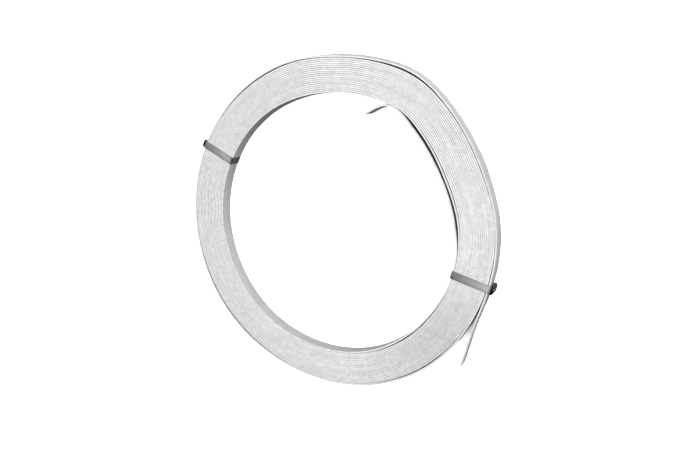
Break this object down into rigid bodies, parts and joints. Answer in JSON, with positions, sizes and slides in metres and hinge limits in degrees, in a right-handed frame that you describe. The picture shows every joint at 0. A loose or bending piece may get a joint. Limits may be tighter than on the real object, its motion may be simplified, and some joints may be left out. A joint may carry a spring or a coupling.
{
  "type": "galvanized steel strip coil",
  "caption": "Flat-wound coil of galvanized flat steel strip with a wide bore and both strip ends standing free, held by steel packing bands closed with crimped seals.",
  "frame": {"origin": "on the coil's axis, at the floor that the coil lies on", "axes": "+Z up along the coil's axis; seen from above +X points right and +Y up in the picture's view of the face, and the strip winds clockwise from its inner end to its outer end"},
  "size_m": [0.7019, 0.6994, 0.0313],
  "materials": {
    "zinc_coated_strip": "hot-dip galvanized, pale matt zinc grey with fine scratches and bright edges",
    "band_steel": "bare cold-rolled packing band, mid grey",
    "seal_steel": "dark blued sheet steel"
  },
  "bodies": {
    "root": {"strip_coil": "zinc_coated_strip", "left_band": "band_steel", "right_band": "band_steel", "left_seal": "seal_steel", "right_seal": "seal_steel"}
  },
  "joints": []
}
